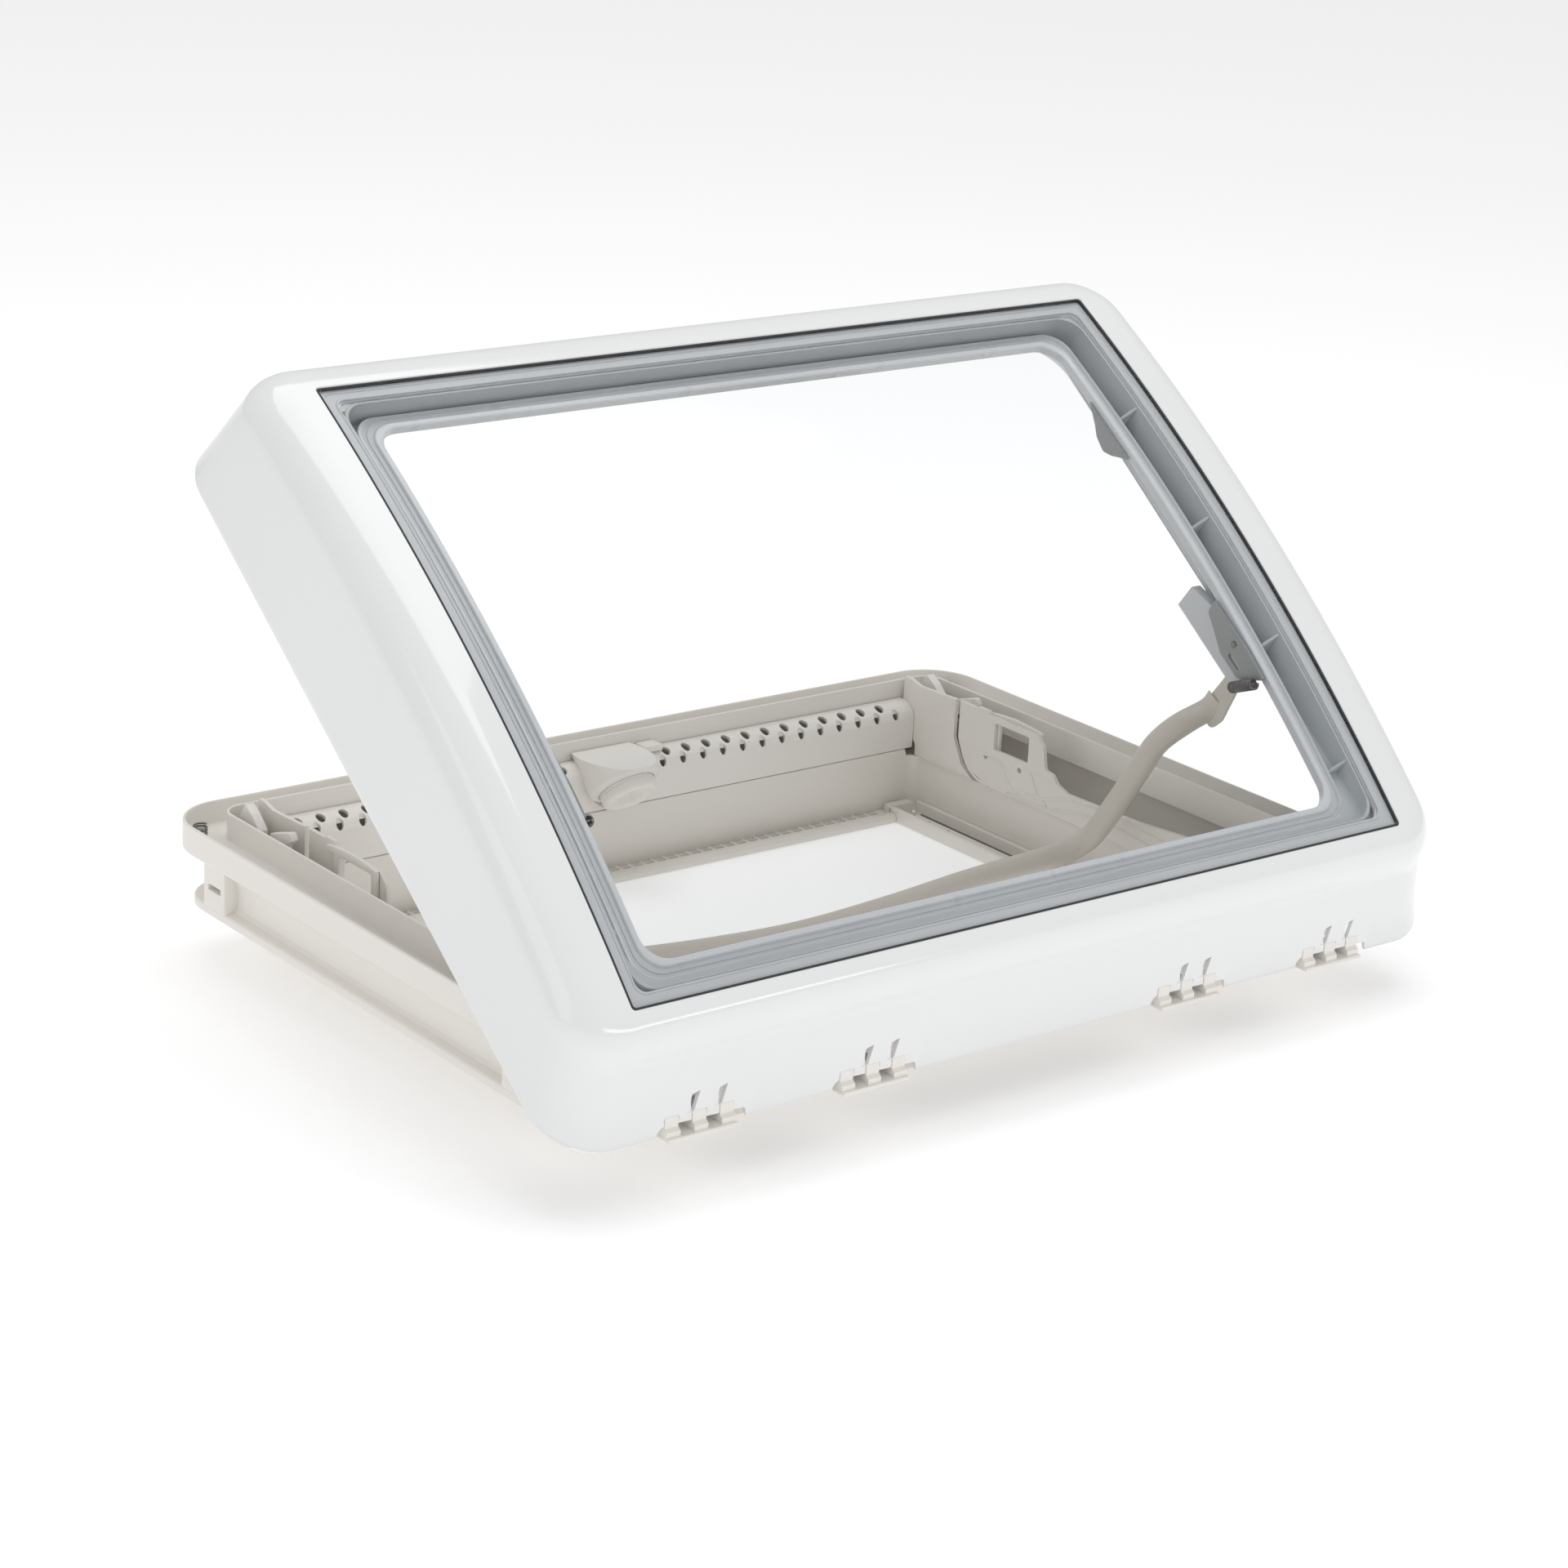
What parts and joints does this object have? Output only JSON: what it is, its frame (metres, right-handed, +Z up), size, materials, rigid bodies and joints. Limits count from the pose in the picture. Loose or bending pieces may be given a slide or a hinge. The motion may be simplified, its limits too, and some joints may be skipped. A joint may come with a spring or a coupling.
{
  "type": "caravan roof window",
  "caption": "Rectangular roof window with a far-opening double-glazed lid, four hinge brackets, a bow handle that swings with the lid, side guide tracks and a push button in the blind cover.",
  "frame": {"origin": "middle of the hinge side on the underside of the roof flange", "axes": "+X along the hinge, +Y from the hinge side to the opening side, +Z up out of the roof"},
  "size_m": [0.83, 0.5793, 0.4753],
  "materials": {
    "frame_plastic": "cream moulded plastic, satin",
    "lid_plastic": "white, high gloss",
    "inner_frame_plastic": "light grey, satin",
    "clear_pane": "clear, slightly cool tint",
    "seal_rubber": "dark soft rubber",
    "steel": "plain steel",
    "bow_plastic": "warm beige, satin"
  },
  "bodies": {
    "frame": {"roof_frame": "frame_plastic", "roof_liner": "frame_plastic", "grille_ledge": "frame_plastic", "hinge_ledge": "frame_plastic", "blind_cover": "frame_plastic", "hinge_cover": "frame_plastic", "button_collar": "frame_plastic", "button_spring": "steel", "latch_keeper": "frame_plastic", "guide_rail_right": "frame_plastic", "guide_rail_left": "frame_plastic", "side_panel_right": "frame_plastic", "side_panel_left": "frame_plastic", "snap_clip_right": "frame_plastic", "snap_clip_left": "frame_plastic", "gusset_right": "frame_plastic", "gusset_left": "frame_plastic", "pawl_post_right": "frame_plastic", "pawl_post_left": "frame_plastic", "pawl_pin_right": "steel", "pawl_pin_left": "steel", "pawl_spring_right": "steel", "pawl_spring_left": "steel", "gutter_spring_right": "steel", "gutter_spring_left": "steel", "hinge_bracket_1": "frame_plastic", "hinge_bracket_2": "frame_plastic", "hinge_bracket_3": "frame_plastic", "hinge_bracket_4": "frame_plastic", "hinge_pin_1": "steel", "hinge_pin_2": "steel", "hinge_pin_3": "steel", "hinge_pin_4": "steel"},
    "lid": {"lid_shell": "lid_plastic", "outer_pane": "clear_pane", "pane_seal": "seal_rubber", "lid_inner_frame": "inner_frame_plastic", "inner_pane": "clear_pane", "lid_seal": "seal_rubber", "bow_bracket_right": "inner_frame_plastic", "bow_bracket_left": "inner_frame_plastic", "lid_lug_right": "inner_frame_plastic", "lid_lug_left": "inner_frame_plastic", "bow_rivet_right": "steel", "bow_rivet_left": "steel", "bow_spring_right": "steel", "bow_spring_left": "steel"},
    "bow": {"bow_handle": "bow_plastic"},
    "button": {"push_button": "frame_plastic"},
    "pawl_right": {"pawl_right": "frame_plastic"},
    "pawl_left": {"pawl_left": "frame_plastic"}
  },
  "joints": [
    {"name": "lid_hinge", "type": "hinge", "parent": "frame", "child": "lid", "pos_m": [0, -0.044, 0.016], "axis": [1, 0, 0], "range_deg": [-36.6, 0]},
    {"name": "bow_pivot", "type": "hinge", "parent": "lid", "child": "bow", "pos_m": [0, 0.10244, 0.20956], "axis": [1, 0, 0], "range_deg": [0, 79.7]},
    {"name": "button_press", "type": "slide", "parent": "frame", "child": "button", "axis": [0, 0.6947, 0.7193], "range_m": [0, 0.004], "stiffness_N_per_m": 500, "springref_m": -0.003, "deforming": ["button_spring"]},
    {"name": "pawl_right_pivot", "type": "hinge", "parent": "frame", "child": "pawl_right", "pos_m": [0.335, 0.428, 0.055], "axis": [1, 0, 0], "range_deg": [-10, 0], "stiffness_Nm_per_rad": 0.12, "springref_deg": 20.05},
    {"name": "pawl_left_pivot", "type": "hinge", "parent": "frame", "child": "pawl_left", "pos_m": [-0.335, 0.428, 0.055], "axis": [1, 0, 0], "range_deg": [-10, 0], "stiffness_Nm_per_rad": 0.12, "springref_deg": 20.05}
  ],
  "couplings": [
    {"joint": "bow_pivot", "follows": "lid_hinge", "ratio": -2.174}
  ]
}
